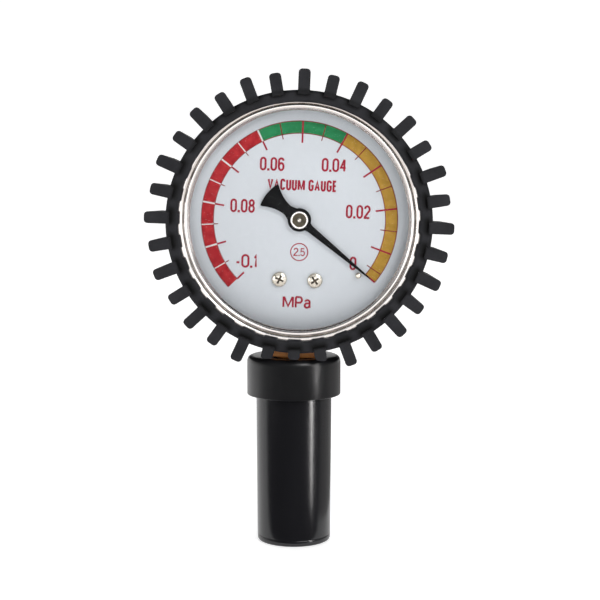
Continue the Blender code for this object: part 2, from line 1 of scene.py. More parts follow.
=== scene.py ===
"""Visual model of a hand-held dial vacuum gauge in a lugged rubber boot.

Sizes are in millimetres until a mesh is made. Head parts are drawn round the dial's
centre: x to the right, z up and y towards the back, with the dial facing -Y.
"""
from math import asin, cos, degrees, hypot, radians, sin, sqrt

import bmesh
import bpy
from mathutils import Matrix, Vector


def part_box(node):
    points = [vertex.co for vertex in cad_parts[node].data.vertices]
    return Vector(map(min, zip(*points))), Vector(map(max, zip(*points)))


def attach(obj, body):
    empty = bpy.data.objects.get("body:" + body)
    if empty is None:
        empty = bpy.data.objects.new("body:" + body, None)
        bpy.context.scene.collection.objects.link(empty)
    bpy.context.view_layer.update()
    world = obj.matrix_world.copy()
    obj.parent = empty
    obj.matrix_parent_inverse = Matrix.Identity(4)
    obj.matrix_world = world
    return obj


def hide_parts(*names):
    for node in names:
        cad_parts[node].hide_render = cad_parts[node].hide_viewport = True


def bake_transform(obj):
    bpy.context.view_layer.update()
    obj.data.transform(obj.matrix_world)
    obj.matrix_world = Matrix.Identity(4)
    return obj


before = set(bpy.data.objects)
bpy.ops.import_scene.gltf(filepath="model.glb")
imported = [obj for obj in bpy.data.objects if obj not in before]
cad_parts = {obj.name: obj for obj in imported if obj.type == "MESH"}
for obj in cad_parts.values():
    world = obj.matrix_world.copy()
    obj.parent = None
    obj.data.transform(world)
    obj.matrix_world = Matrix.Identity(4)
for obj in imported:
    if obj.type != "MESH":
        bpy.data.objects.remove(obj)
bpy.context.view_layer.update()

MM = 0.001
LEAN = radians(2.2)
TURN_STEPS = 160

# Rubber boot.
LUG_COUNT = 32
LUG_PITCH = 360.0 / LUG_COUNT
LUG_HALF_WIDTH = 1.55
LUG_LONG_R = 40.0
LUG_SHORT_R = 39.3
LUG_INNER_R = 33.4
LUG_HALF_DEPTH = 14.0
LUG_TIP_ROUND = 0.95
LUG_DRAFT = 0.7
LUG_TIP_DRAFT = 0.6
LUG_TRIM_Z = -36.15
TRIMMED_LUG_SPREAD = 20.0
BAND_R = 34.6
BAND_HALF_DEPTH = 13.0
LIP_R = 31.45
LIP_BUMP = 0.42
LIP_SMOOTH_ABOVE = 0.6
LIP_FADE = 0.25
BOOT_SQUASH = 0.984
BOOT_SAG = 0.45
GAP_SHARES = (0.12, 0.37, 0.63, 0.88)
STEM_SLOT_HALF = 6.6

# Painted shade in the corner at a lug's inner end: its radius and where it fades, in metres.
SHADE_R = 0.033
SHADE_ACROSS = (0.0014, 0.0028)
SHADE_INNER_EDGE = (0.0315, 0.033)
SHADE_OUTER_EDGE = (0.0334, 0.0341)
SHADE_FRONT = (-0.0131, -0.0136)

# Bourdon tube, as angles anticlockwise from +X.
TUBE_R = 21.5
TUBE_Y = 4.5
TUBE_HALF_WIDTH = 3.5
TUBE_HALF_THICKNESS = 1.2
TUBE_START = 252.0
TUBE_SPLIT = 180.0
TUBE_STOP = -26.0

# Dial print, as angles anticlockwise from +X.
DIAL_FRONT_Y = -4.6
INK_BACK_Y = -4.57
BAND_INNER_R = 22.7
BAND_OUTER_R = 25.9
MAJOR_TICK_R = 20.2
MINOR_TICK_R = 21.5
SCALE_ZERO = -37.5
SCALE_HALF_FIRST = -31.7
SCALE_FIRST = -18.4
SCALE_STEP = 27.11
SCALE_LAST = 10
AMBER_LAST = 4
GREEN_LAST = 6
PIN_R = 21.4
PIN_ANGLE = -41.2

# Thickness of each kind of print; every further stroke of a character lies a little higher.
BAND_LAYER = 0.02
LINE_LAYER = 0.03
TICK_LAYER = 0.04
TEXT_LAYER = 0.03
STROKE_RISE = 0.006

# Pointer.
HUB_R = 3.1
NEEDLE_R = 24.6
TAIL_R = 11.0
TAIL_SPREAD = 20.5

# Collar and barrel.
STEM_HOLE_R = 5.4
COLLAR_R = 12.6
COLLAR_BORE_R = 10.55
COLLAR_BOTTOM = 39.9
COLLAR_CEILING = 45.5
COLLAR_TOP = 49.0
COLLAR_RIM = 50.5
RECESS_R = 8.8
WASHER_R = 7.4
BARREL_R = 10.2
BARREL_BORE_R = 8.0
BARREL_TOP = 45.2

# Camera, in metres and degrees.
CAMERA_PLACE = (0.006, -0.37, 0.102)
CAMERA_DIP = 5.67
CAMERA_TURN = 0.67
CAMERA_LENS = 83.04
SENSOR_WIDTH = 36.0


def middle_of(node):
    """The middle of a CAD node's box, in metres."""
    low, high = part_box(node)
    return (Vector(low) + Vector(high)) / 2.0


dial_middle = middle_of("window_lens")
HEAD = Matrix.Translation((dial_middle.x, 0.0, dial_middle.z)) @ Matrix.Rotation(LEAN, 4, "Y")
BASE = Matrix.Identity(4)


# ---- materials

def set_inputs(node, inputs):
    for name, value in inputs.items():
        node.inputs[name.replace("_", " ")].default_value = value
    return node


def new_node(tree, kind, **inputs):
    return set_inputs(tree.nodes.new(kind), inputs)


def principled(name, colour, roughness, **inputs):
    """A material and its Principled shader, with the uniform values set on its sockets."""
    made = bpy.data.materials.new(name)
    made.use_nodes = True
    shader = set_inputs(made.node_tree.nodes["Principled BSDF"], inputs)
    set_inputs(shader, {"Base Color": (*colour, 1.0), "Roughness": roughness})
    return made, made.node_tree, shader


def place(tree):
    return tree.nodes.new("ShaderNodeTexCoord").outputs["Object"]


def noise(tree, vector, scale, detail=3.0, roughness=0.55, stretch=None):
    if stretch:
        mapping = new_node(tree, "ShaderNodeMapping", Scale=stretch)
        tree.links.new(vector, mapping.inputs["Vector"])
        vector = mapping.outputs["Vector"]
    made = new_node(tree, "ShaderNodeTexNoise", Scale=scale, Detail=detail, Roughness=roughness)
    tree.links.new(vector, made.inputs["Vector"])
    return made.outputs["Fac"]


def remap(tree, value, low, high, out_low=0.0, out_high=1.0):
    made = new_node(tree, "ShaderNodeMapRange", From_Min=low, From_Max=high, To_Min=out_low,
                    To_Max=out_high)
    tree.links.new(value, made.inputs["Value"])
    return made.outputs["Result"]


def blend_colours(tree, share, first, second):
    made = tree.nodes.new("ShaderNodeMix")
    made.data_type = "RGBA"
    tree.links.new(share, made.inputs["Factor"])
    for socket, colour in ((made.inputs[6], first), (made.inputs[7], second)):
        if isinstance(colour, tuple):
            socket.default_value = (*colour, 1.0)
        else:
            tree.links.new(colour, socket)
    return made.outputs[2]


def calculate(tree, operation, first, second=None):
    made = tree.nodes.new("ShaderNodeMath")
    made.operation = operation
    for socket, value in zip(made.inputs, (first, second)):
        if isinstance(value, (int, float)):
            socket.default_value = value
        elif value is not None:
            tree.links.new(value, socket)
    return made.outputs[0]


def relief(tree, shader, height, depth, strength=1.0, under=None):
    """Bump of about depth metres; under is the normal that it adds to."""
    made = new_node(tree, "ShaderNodeBump", Strength=strength, Distance=depth)
    tree.links.new(height, made.inputs["Height"])
    if under is not None:
        tree.links.new(under, made.inputs["Normal"])
    tree.links.new(made.outputs["Normal"], shader.inputs["Normal"])
    return made.outputs["Normal"]


def paint(tree, shader, value, low, high, first, second):
    """Colour that goes from first to second as a value goes from low to high."""
    colour = blend_colours(tree, remap(tree, value, low, high), first, second)
    tree.links.new(colour, shader.inputs["Base Color"])


def roughen(tree, shader, value, low, high, out_low, out_high):
    tree.links.new(remap(tree, value, low, high, out_low, out_high), shader.inputs["Roughness"])


def times(tree, first, second):
    return calculate(tree, "MULTIPLY", first, second)


def mixture(tree, first, second, share):
    """share parts of the first value and the rest of the second."""
    return calculate(tree, "ADD", times(tree, first, share), times(tree, second, 1.0 - share))


def components(tree, vector):
    split = tree.nodes.new("ShaderNodeSeparateXYZ")
    tree.links.new(vector, split.inputs[0])
    return split


def radius_in_head(tree, vector):
    """Distance from the dial's axis in metres, for pieces drawn in the head's own frame."""
    split = components(tree, vector)
    x_squared = calculate(tree, "POWER", split.outputs["X"], 2.0)
    z_squared = calculate(tree, "POWER", split.outputs["Z"], 2.0)
    return calculate(tree, "SQRT", calculate(tree, "ADD", x_squared, z_squared)), split


def rubber(name, dark, light, grain_scale, paint_lug_shade=False):
    made, tree, shader = principled(name, dark, 0.7, Specular_IOR_Level=0.3)
    where = place(tree)
    cloud = noise(tree, where, 160.0, 4.0)
    grain = noise(tree, where, grain_scale, 5.0, 0.65)
    colour = blend_colours(tree, remap(tree, cloud, 0.35, 0.7), dark, light)
    # Painted shade: the rubber's colour is darkened in the corner at each lug's inner end.
    if paint_lug_shade:
        colour = blend_colours(tree, painted_lug_shade_mask(tree, where), colour, (0.004, 0.004, 0.004))
    tree.links.new(colour, shader.inputs["Base Color"])
    roughen(tree, shader, grain, 0.3, 0.7, 0.56, 0.78)
    coarse = relief(tree, shader, cloud, 6e-5, 0.5)
    relief(tree, shader, grain, 4e-5, 0.75, coarse)
    return made


def painted_lug_shade_mask(tree, where):
    """Mask for painted shade: 1 in the sheltered corner at each lug's inner end, 0 elsewhere."""
    radius, split = radius_in_head(tree, where)
    angle = calculate(tree, "ARCTAN2", split.outputs["Z"], split.outputs["X"])
    pitch = radians(LUG_PITCH)
    turns = calculate(tree, "ADD", calculate(tree, "DIVIDE", angle, pitch), LUG_COUNT + 0.5)
    part = calculate(tree, "SUBTRACT", calculate(tree, "FRACT", turns), 0.5)
    across = calculate(tree, "ABSOLUTE", times(tree, part, pitch * SHADE_R))
    near_lug = remap(tree, across, *SHADE_ACROSS, 1.0, 0.0)
    outside = remap(tree, radius, *SHADE_INNER_EDGE)
    inside = remap(tree, radius, *SHADE_OUTER_EDGE, 1.0, 0.0)
    front = remap(tree, split.outputs["Y"], *SHADE_FRONT, 1.0, 0.55)
    return times(tree, times(tree, near_lug, times(tree, outside, inside)), front)


def metal(name, dark, light, rough_low, rough_high, scale, stretch=None, depth=1e-5):
    made, tree, shader = principled(name, light, rough_low, Metallic=1.0)
    where = place(tree)
    patches = noise(tree, where, scale, 4.0)
    scratches = noise(tree, where, scale * 6.0, 3.0, 0.6, stretch)
    paint(tree, shader, patches, 0.3, 0.7, dark, light)
    roughen(tree, shader, scratches, 0.3, 0.7, rough_low, rough_high)
    relief(tree, shader, scratches, depth, 0.4)
    return made


def turned_metal(name, dark, light, rough_low, rough_high, ring_scale, depth):
    """Metal with fine concentric marks round the dial's axis."""
    made, tree, shader = principled(name, light, rough_low, Metallic=1.0)
    where = place(tree)
    radius, split = radius_in_head(tree, where)
    across = tree.nodes.new("ShaderNodeCombineXYZ")
    tree.links.new(radius, across.inputs["X"])
    tree.links.new(times(tree, split.outputs["Y"], 0.6), across.inputs["Y"])
    marks = noise(tree, across.outputs[0], ring_scale, 4.0, 0.6)
    patches = noise(tree, where, 90.0, 3.0)
    paint(tree, shader, marks, 0.35, 0.65, dark, light)
    mixed = mixture(tree, marks, patches, 0.6)
    roughen(tree, shader, mixed, 0.35, 0.65, rough_low, rough_high)
    relief(tree, shader, marks, depth, 0.35)
    return made


def plastic(name, dark, light, rough_low, rough_high, grain_scale, depth, streak=None, shine=0.5):
    made, tree, shader = principled(name, dark, rough_low, Specular_IOR_Level=shine)
    where = place(tree)
    cloud = noise(tree, where, 45.0, 3.0, 0.5, streak)
    grain = noise(tree, where, grain_scale, 4.0, 0.6, streak)
    paint(tree, shader, cloud, 0.35, 0.65, dark, light)
    mixed = mixture(tree, cloud, grain, 0.55)
    roughen(tree, shader, mixed, 0.35, 0.65, rough_low, rough_high)
    relief(tree, shader, grain, depth, 0.6)
    return made


def ink(name, colour, worn):
    """Printed ink with faint mottling and a satin surface."""
    made, tree, shader = principled(name, colour, 0.42, Specular_IOR_Level=0.3)
    mottle = noise(tree, place(tree), 700.0, 4.0, 0.6)
    paint(tree, shader, mottle, 0.35, 0.7, colour, worn)
    roughen(tree, shader, mottle, 0.3, 0.7, 0.36, 0.5)
    return made


def lens_material():
    made, tree, shader = principled("clear_window", (0.97, 0.985, 1.0), 0.03, IOR=1.49, Alpha=0.15,
                                    Transmission_Weight=1.0, Specular_IOR_Level=0.6)
    smudge = noise(tree, place(tree), 60.0, 4.0)
    roughen(tree, shader, smudge, 0.45, 0.8, 0.02, 0.09)
    made.surface_render_method = "BLENDED"
    return made


TURNED_STRETCH = (1.0, 1.0, 6.0)

MATERIALS = {
    "boot_rubber": rubber(
        "boot_rubber_grained", (0.0195, 0.0195, 0.0228), (0.029, 0.029, 0.0335), 2600.0,
        paint_lug_shade=True),
    "gasket_rubber": rubber(
        "gasket_rubber_dull", (0.02, 0.02, 0.02), (0.045, 0.043, 0.042), 1900.0),
    "chrome": turned_metal(
        "chrome_turned", (0.86, 0.82, 0.8), (0.96, 0.935, 0.92), 0.12, 0.2, 9000.0, 1.2e-6),
    # Dark finish that paints shade into the bezel's groove and into the screws' cross recesses.
    "painted_shade": metal("painted_recess_shade", (0.07, 0.055, 0.04), (0.2, 0.165, 0.125), 0.4, 0.6, 900.0),
    "nickel": metal("nickel_plate", (0.74, 0.69, 0.59), (0.92, 0.88, 0.79), 0.12, 0.24, 700.0),
    "steel": metal("bright_steel", (0.38, 0.38, 0.38), (0.6, 0.6, 0.61), 0.22, 0.38, 900.0),
    "black_steel": plastic(
        "painted_steel", (0.012, 0.012, 0.013), (0.02, 0.02, 0.021), 0.36, 0.5, 1500.0, 3e-5),
    # Brass for the stem socket: a non-metal copy whose colour is painted lighter, standing for
    # light on the shaded socket.
    "socket_brass_painted_lit": plastic(
        "turned_brass_painted_lit", (0.8, 0.28, 0.062), (0.96, 0.4, 0.11), 0.3, 0.45, 700.0, 1e-5,
        TURNED_STRETCH),
    "brass": metal(
        "machined_brass", (0.52, 0.24, 0.07), (0.8, 0.44, 0.16), 0.24, 0.42, 500.0, TURNED_STRETCH),
    "bronze": metal("drawn_bronze", (0.4, 0.19, 0.09), (0.66, 0.38, 0.2), 0.28, 0.45, 400.0),
    "spring_bronze": metal("rolled_bronze", (0.42, 0.22, 0.1), (0.7, 0.42, 0.22), 0.2, 0.34, 900.0),
    "matte_plastic": plastic(
        "moulded_collar", (0.0085, 0.0085, 0.0095), (0.013, 0.013, 0.0145), 0.27, 0.36, 2200.0,
        3e-5),
    "gloss_plastic": plastic(
        "moulded_barrel", (0.006, 0.006, 0.0072), (0.01, 0.01, 0.0122), 0.19, 0.26, 900.0,
        2e-5, (1.0, 1.0, 0.12)),
    "pointer_black": plastic(
        "pointer_paint", (0.0025, 0.0025, 0.0035), (0.006, 0.006, 0.0075), 0.34, 0.46, 2500.0,
        1e-5, shine=0.2),
    "dial_white": ink("dial_enamel", (0.7, 0.735, 0.775), (0.725, 0.76, 0.8)),
    "clear_lens": lens_material(),
    "boss_face": turned_metal(
        "boss_turned", (0.13, 0.11, 0.075), (0.3, 0.26, 0.19), 0.3, 0.5, 5000.0, 1e-5),
    "crimson": ink("crimson_ink", (0.36, 0.008, 0.03), (0.44, 0.02, 0.048)),
    "dark_red": ink("dark_red_ink", (0.2, 0.01, 0.016), (0.28, 0.022, 0.028)),
    "red": ink("red_ink", (0.4, 0.006, 0.014), (0.6, 0.028, 0.034)),
    "green": ink("green_ink", (0.01, 0.22, 0.07), (0.024, 0.31, 0.11)),
    "amber": ink("amber_ink", (0.44, 0.24, 0.024), (0.58, 0.33, 0.045)),
    "white": ink("white_ink", (0.76, 0.76, 0.76), (0.82, 0.81, 0.8)),
}


# ---- mesh helpers

def polar(radius, direction):
    angle = radians(direction)
    return radius * cos(angle), radius * sin(angle)


def rotated(x, z, angle):
    return x * cos(angle) - z * sin(angle), x * sin(angle) + z * cos(angle)


def polar_vert(bm, radius, y, direction):
    x, z = polar(radius, direction)
    return bm.verts.new((x, y, z))


def spread(start, stop, steps):
    """Evenly spaced values, with both ends."""
    return [start + (stop - start) * step / steps for step in range(steps + 1)]


def add_object(name, data):
    obj = bpy.data.objects.new(name, data)
    bpy.context.collection.objects.link(obj)
    return obj


def new_object(name, bm, material=None):
    """An object made from a bmesh, which it uses up."""
    mesh = bpy.data.meshes.new(name)
    bm.to_mesh(mesh)
    bm.free()
    if material:
        mesh.materials.append(material)
    return add_object(name, mesh)


def finish_mesh(name, bm, matrix):
    """An object from a shape drawn in millimetres."""
    bmesh.ops.recalc_face_normals(bm, faces=bm.faces)
    bmesh.ops.scale(bm, verts=bm.verts, vec=(MM, MM, MM))
    obj = new_object(name, bm)
    obj.matrix_world = matrix
    return obj


def skin(bm, loops, closed=False):
    """Join loops of equally many vertices in a row, and cap the ends or close the ring."""
    pairs = list(zip(loops, loops[1:]))
    if closed:
        pairs.append((loops[-1], loops[0]))
    else:
        bm.faces.new(loops[0])
        bm.faces.new(list(reversed(loops[-1])))
    count = len(loops[0])
    for first, second in pairs:
        for index in range(count):
            following = (index + 1) % count
            bm.faces.new((first[index], first[following], second[following], second[index]))
    return bm


def bevel(obj, width, segments=3, angle=35.0):
    made = obj.modifiers.new("soft_edges", "BEVEL")
    made.width = width * MM
    made.segments = segments
    made.limit_method = "ANGLE"
    made.angle_limit = radians(angle)
    return obj


def apply_modifiers(obj):
    """Keep the shown shape as the object's own mesh."""
    depsgraph = bpy.context.evaluated_depsgraph_get()
    mesh = bpy.data.meshes.new_from_object(obj.evaluated_get(depsgraph))
    old = obj.data
    obj.modifiers.clear()
    obj.data = mesh
    bpy.data.meshes.remove(old)


def piece(name, bm, material, stands_for=(), body="housing", matrix=None,
          round_edge=0.0, sharp=32.0, segments=3):
    """Turn a millimetre bmesh into a shown piece that rides on a CAD body."""
    obj = finish_mesh(name, bm, HEAD if matrix is None else matrix)
    if round_edge:
        bevel(obj, round_edge, segments)
        apply_modifiers(obj)
    dress(obj, material, stands_for, body, sharp)
    return obj


def dress(obj, material, stands_for, body, sharp=32.0):
    obj.data.materials.clear()
    obj.data.materials.append(MATERIALS[material])
    obj.data.shade_smooth()
    obj.data.set_sharp_from_angle(angle=radians(sharp))
    weighted = obj.modifiers.new("even_normals", "WEIGHTED_NORMAL")
    weighted.keep_sharp = True
    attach(obj, body)
    if stands_for:
        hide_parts(*stands_for)


def cut_away(obj, cutter_bm, overlaps=False):
    """Take a millimetre shape, drawn in the object's own frame, out of it.

    With overlaps, the object's own faces may run through each other.
    """
    cutter = finish_mesh("cutter", cutter_bm, obj.matrix_world.copy())
    made = obj.modifiers.new("cut", "BOOLEAN")
    made.operation = "DIFFERENCE"
    made.solver = "EXACT"
    made.use_self = overlaps
    made.object = cutter
    apply_modifiers(obj)
    mesh = cutter.data
    bpy.data.objects.remove(cutter, do_unlink=True)
    bpy.data.meshes.remove(mesh)


def rounded(profile, radii, steps=4):
    """Round the corners of an open (radius, along) profile by the given radii, in order."""
    points = []
    for index, corner in enumerate(profile):
        size = radii[index]
        if size <= 0.0 or index in (0, len(profile) - 1):
            points.append(corner)
            continue
        here = Vector(corner)
        before = Vector(profile[index - 1]) - here
        after = Vector(profile[index + 1]) - here
        reach = min(size, before.length * 0.49, after.length * 0.49)
        start = here + before.normalized() * reach
        end = here + after.normalized() * reach
        for step in range(steps + 1):
            share = step / steps
            point = start.lerp(here, share).lerp(here.lerp(end, share), share)
            points.append((point.x, point.y))
    return points


def lathe(profile, axis="Y", steps=TURN_STEPS, centre=(0.0, 0.0, 0.0), closed=False):
    """Spin a profile of (radius, along) points round an axis; closed joins its ends."""
    bm = bmesh.new()
    rings = []
    for radius, along in profile:
        ring = []
        for step in range(steps if radius > 0.0 else 1):
            a, b = polar(radius, 360.0 * step / steps)
            ring.append(bm.verts.new((a, along, b) if axis == "Y" else (a, b, along)))
        rings.append(ring)
    pairs = list(zip(rings, rings[1:]))
    if closed:
        pairs.append((rings[-1], rings[0]))
    for first, second in pairs:
        for step in range(steps):
            following = (step + 1) % steps
            corners = [first[step % len(first)], first[following % len(first)],
                       second[following % len(second)], second[step % len(second)]]
            corners = list(dict.fromkeys(corners))
            if len(corners) > 2:
                bm.faces.new(corners)
    bmesh.ops.translate(bm, verts=bm.verts, vec=centre)
    return bm


def slab(outline, front, back):
    """A closed plate from an outline of (x, z) points."""
    bm = bmesh.new()
    return skin(bm, [[bm.verts.new((x, y, z)) for x, z in outline] for y in (front, back)])


def joined(shapes):
    """Shapes put together in one bmesh, without cutting them."""
    whole = bmesh.new()
    for shape in shapes:
        scratch = bpy.data.meshes.new("scratch")
        shape.to_mesh(scratch)
        shape.free()
        whole.from_mesh(scratch)
        bpy.data.meshes.remove(scratch)
    return whole


# ---- rubber boot

def lug_tip_line(index, lateral):
    """How far out a lug reaches at a sideways offset, before its corners are rounded."""
    angle = LUG_PITCH * index
    full = LUG_LONG_R if index % 2 == 0 else LUG_SHORT_R
    if abs(angle - 270.0) > TRIMMED_LUG_SPREAD:
        return full
    lean = radians(angle - 270.0)
    return (-LUG_TRIM_Z + lateral * sin(lean)) / cos(lean)


def lug_tip(index):
    """Rounded end of a lug as (outward, sideways) points."""
    straight = LUG_HALF_WIDTH - LUG_TIP_ROUND
    points = []
    for side in (-1.0, 1.0):
        for step in range(5):
            angle = radians(22.5 * (step if side < 0 else 4 - step))
            lateral = side * (straight + LUG_TIP_ROUND * cos(angle))
            outward = lug_tip_line(index, lateral) - LUG_TIP_ROUND * (1.0 - sin(angle))
            points.append((outward, lateral))
    return points


def lug_half_width(y):
    """Lugs narrow towards the back."""
    return LUG_HALF_WIDTH - LUG_DRAFT * (y + LUG_HALF_DEPTH) / (2.0 * LUG_HALF_DEPTH)


def boot_rows(lip):
    """Closed section of the band, starting at the front lip and going outwards."""
    front, back = -BAND_HALF_DEPTH, BAND_HALF_DEPTH
    return [(lip, front + 1.5), (lip, front + 0.45), (lip + 0.45, front), (LUG_INNER_R, front),
            (33.85, front), (BAND_R, front + 0.75), (BAND_R, back - 0.75), (33.85, back),
            (LUG_INNER_R, back), (26.5, back), (26.0, back - 0.5), (26.0, 11.7), (31.5, 11.7),
            (31.5, -3.2), (32.9, -3.2), (32.9, -11.2), (lip + 0.3, -11.2)]


# Rows of that section that a lug stands between, and those of the pocket round case and bezel.
LUG_FRONT_ROW = 3
LUG_BACK_ROW = 8
POCKET_ROWS = slice(12, 16)


def lip_bump(angle):
    """How far the lip bulges inwards beside a lug; it lies smooth over the top of the bezel."""
    height = sin(radians(angle))
    return LIP_BUMP * min(1.0, max(0.0, (LIP_SMOOTH_ABOVE - height) / LIP_FADE))


def rubber_boot():
    """Band with lugs that hangs a little low and flat on the case; its pocket stays round."""
    bm = bmesh.new()
    columns = []
    lug_gap = LUG_PITCH - 2.0 * degrees(asin(LUG_HALF_WIDTH / BAND_R))
    for index in range(LUG_COUNT):
        angle = LUG_PITCH * index
        out = Vector(polar(1.0, angle))
        side = Vector((-out.y, out.x))
        edges = []
        for hand in (-1.0, 1.0):
            column = []
            for row, (radius, y) in enumerate(boot_rows(LIP_R - lip_bump(angle))):
                lateral = hand * lug_half_width(y)
                on_lug_end = row in (LUG_FRONT_ROW, LUG_BACK_ROW)
                reach = radius if on_lug_end else sqrt(radius ** 2 - lateral ** 2)
                spot = out * reach + side * lateral
                column.append(bm.verts.new((spot.x, y, spot.y)))
            edges.append(column)
        columns += edges
        add_lug(bm, index, out, side, edges)
        start = angle + LUG_PITCH / 2.0 - lug_gap / 2.0
        for share in GAP_SHARES:
            direction = start + lug_gap * share
            columns.append([polar_vert(bm, radius, y, direction) for radius, y in boot_rows(LIP_R)])
    per_lug = 2 + len(GAP_SHARES)
    for number, column in enumerate(columns):
        following = columns[(number + 1) % len(columns)]
        rows = len(column)
        for row in range(rows):
            under_lug = number % per_lug == 0 and LUG_FRONT_ROW <= row < LUG_BACK_ROW
            if not under_lug:
                after = (row + 1) % rows
                bm.faces.new((column[row], column[after], following[after], following[row]))
    pocket = {vert for column in columns for vert in column[POCKET_ROWS]}
    for vert in bm.verts:
        if vert not in pocket:
            vert.co.z = vert.co.z * BOOT_SQUASH - BOOT_SAG
    boot = finish_mesh("boot_skin", bm, HEAD)
    bevel(boot, 0.26, 3, 30.0)
    apply_modifiers(boot)
    half = STEM_SLOT_HALF
    slot_outline = [(-half, -50.0), (half, -50.0), (half, -25.0), (-half, -25.0)]
    cut_away(boot, slab(slot_outline, -half, half), overlaps=True)
    dress(boot, "boot_rubber", ["rubber_boot"], "housing", 42.0)


def add_lug(bm, index, out, side, edges):
    """Lug that grows out of the band between two of its columns."""
    def spot(outward, lateral, y):
        point = out * outward + side * lateral
        return bm.verts.new((point.x, y, point.y))

    tip = lug_tip(index)
    front, back = -LUG_HALF_DEPTH, LUG_HALF_DEPTH
    near = [spot(outward, lateral, front) for outward, lateral in tip]
    narrowing = lug_half_width(back) / LUG_HALF_WIDTH
    far = [spot(outward - LUG_TIP_DRAFT, lateral * narrowing, back) for outward, lateral in tip]
    inner_near = [spot(LUG_INNER_R, hand * lug_half_width(front), front) for hand in (-1.0, 1.0)]
    inner_far = [spot(LUG_INNER_R, hand * lug_half_width(back), back) for hand in (-1.0, 1.0)]
    for number, end in ((0, 0), (1, len(tip) - 1)):
        wall = edges[number][LUG_FRONT_ROW:LUG_BACK_ROW + 1]
        bm.faces.new((*wall, inner_far[number], far[end], near[end], inner_near[number]))
    for row, inner in ((LUG_FRONT_ROW, inner_near), (LUG_BACK_ROW, inner_far)):
        bm.faces.new((edges[0][row], edges[1][row], inner[1], inner[0]))
    bm.faces.new((inner_near[0], *near, inner_near[1]))
    bm.faces.new((inner_far[1], *reversed(far), inner_far[0]))
    for first in range(len(tip) - 1):
        bm.faces.new((near[first], far[first], far[first + 1], near[first + 1]))


rubber_boot()


# ---- bezel, case and screws

def bezel():
    corners = [(31.4, -3.6), (32.5, -3.6), (32.5, -10.45), (32.0, -10.9), (30.75, -10.9),
               (30.38, -10.62), (30.38, -10.3), (30.12, -10.3), (30.12, -10.62), (29.85, -10.85),
               (29.35, -10.85), (29.08, -10.62), (29.0, -10.45), (28.5, -9.95), (28.5, -9.6),
               (31.4, -9.6)]
    radii = [0.0, 0.3, 0.6, 0.5, 0.35, 0.03, 0.0, 0.0, 0.03, 0.3, 0.3, 0.05, 0.05, 0.2, 0.1, 0.0]
    profile = rounded(corners, radii, 5)
    piece("bezel", lathe(profile, steps=240, closed=True), "chrome", ["bezel_ring"],
          sharp=50.0)
    # A dark ring in the groove paints the shade there.
    groove_shade_profile = [(30.36, -10.42), (30.36, -10.32), (30.14, -10.32), (30.14, -10.42)]
    piece("bezel_groove_shade", lathe(groove_shade_profile, steps=240, closed=True), "painted_shade")


RECESS_TAPER = 0.62


def cross_recess(reach, half_width, front, back):
    """A cross-shaped cutter that narrows with depth."""
    arm = ((half_width, half_width), (reach, half_width), (reach, -half_width))
    outline = [rotated(x, z, radians(-90.0 * quarter)) for quarter in range(4) for x, z in arm]
    bm = slab(outline, front, back)
    for vert in bm.verts:
        if abs(vert.co.y - back) < 0.001:
            vert.co.x *= RECESS_TAPER
            vert.co.z *= RECESS_TAPER
    return bm


def pan_screw(name, node, towards, head_r, height, shank_r, length, turn):
    """Cross-recessed pan-head screw seated where its CAD node is; towards is +1 for a rear head."""
    low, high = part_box(node)
    middle = HEAD.inverted() @ middle_of(node) / MM
    tip = (high[1] if towards > 0 else low[1]) / MM
    seat = tip - towards * height
    corners = [(0.0, height), (head_r * 0.5, height), (head_r * 0.9, height * 0.66),
               (head_r, height * 0.3), (head_r, 0.0), (shank_r, 0.0), (shank_r, -length),
               (0.0, -length)]
    profile = rounded(corners, [0.0, 0.5, 0.35, 0.2, 0.08, 0.0, 0.1, 0.0], 5)
    bm = lathe([(r, towards * along) for r, along in profile], steps=64)
    obj = finish_mesh(name, bm, BASE)
    cut_away(obj, cross_recess(head_r * 0.66, head_r * 0.15, towards * (height + 0.3),
                               towards * height * 0.1))
    local = (Matrix.Translation(Vector((middle.x, seat, middle.z)) * MM)
             @ Matrix.Rotation(radians(turn), 4, "Y"))
    obj.matrix_world = HEAD @ local
    dress(obj, "nickel", [node], "housing", 40.0)
    # The cross recess gets the dark second finish, as painted shade.
    obj.data.materials.append(MATERIALS["painted_shade"])
    for polygon in obj.data.polygons:
        spot = polygon.center / MM
        rise = spot.y * towards / height
        if hypot(spot.x, spot.z) < head_r * 0.6 and 0.05 < rise < 0.85:
            polygon.material_index = 1


def case_back():
    corners = [(0.0, 10.4), (30.2, 10.4), (30.2, -6.2), (31.0, -6.2), (31.0, 11.4), (24.2, 11.4),
               (23.6, 11.15), (22.4, 11.15), (21.8, 11.4), (8.2, 11.4), (7.7, 11.2), (0.0, 11.2)]
    radii = [0.0, 0.4, 0.15, 0.15, 0.9, 0.3, 0.2, 0.2, 0.3, 0.3, 0.2, 0.0]
    obj = finish_mesh("case_pan", lathe(rounded(corners, radii, 4), steps=128), HEAD)
    cut_away(obj, slab([(-6.4, -32.0), (6.4, -32.0), (6.4, -27.0), (-6.4, -27.0)], -3.5, 5.3))
    holes = [lathe([(0.0, 9.0), (r, 9.0), (r, 13.0), (0.0, 13.0)], steps=32, centre=(x, 0.0, z))
             for x, z, r in ((-3.8, -13.5, 1.3), (3.8, -13.5, 1.3), (0.0, 14.0, 3.5))]
    cut_away(obj, joined(holes))
    dress(obj, "black_steel", ["case_shell"], "housing", 30.0)
    corners = [(0.0, 9.9), (3.1, 9.9), (3.1, 11.7), (5.0, 11.7), (5.0, 12.2), (4.3, 12.8),
               (1.5, 12.8), (1.1, 12.35), (0.0, 12.35)]
    profile = rounded(corners, [0.0, 0.3, 0.1, 0.2, 0.3, 0.5, 0.3, 0.3, 0.0])
    piece("vent_plug", lathe(profile, steps=72, centre=(0.0, 0.0, 14.0)), "gasket_rubber",
          ["case_vent_plug"])


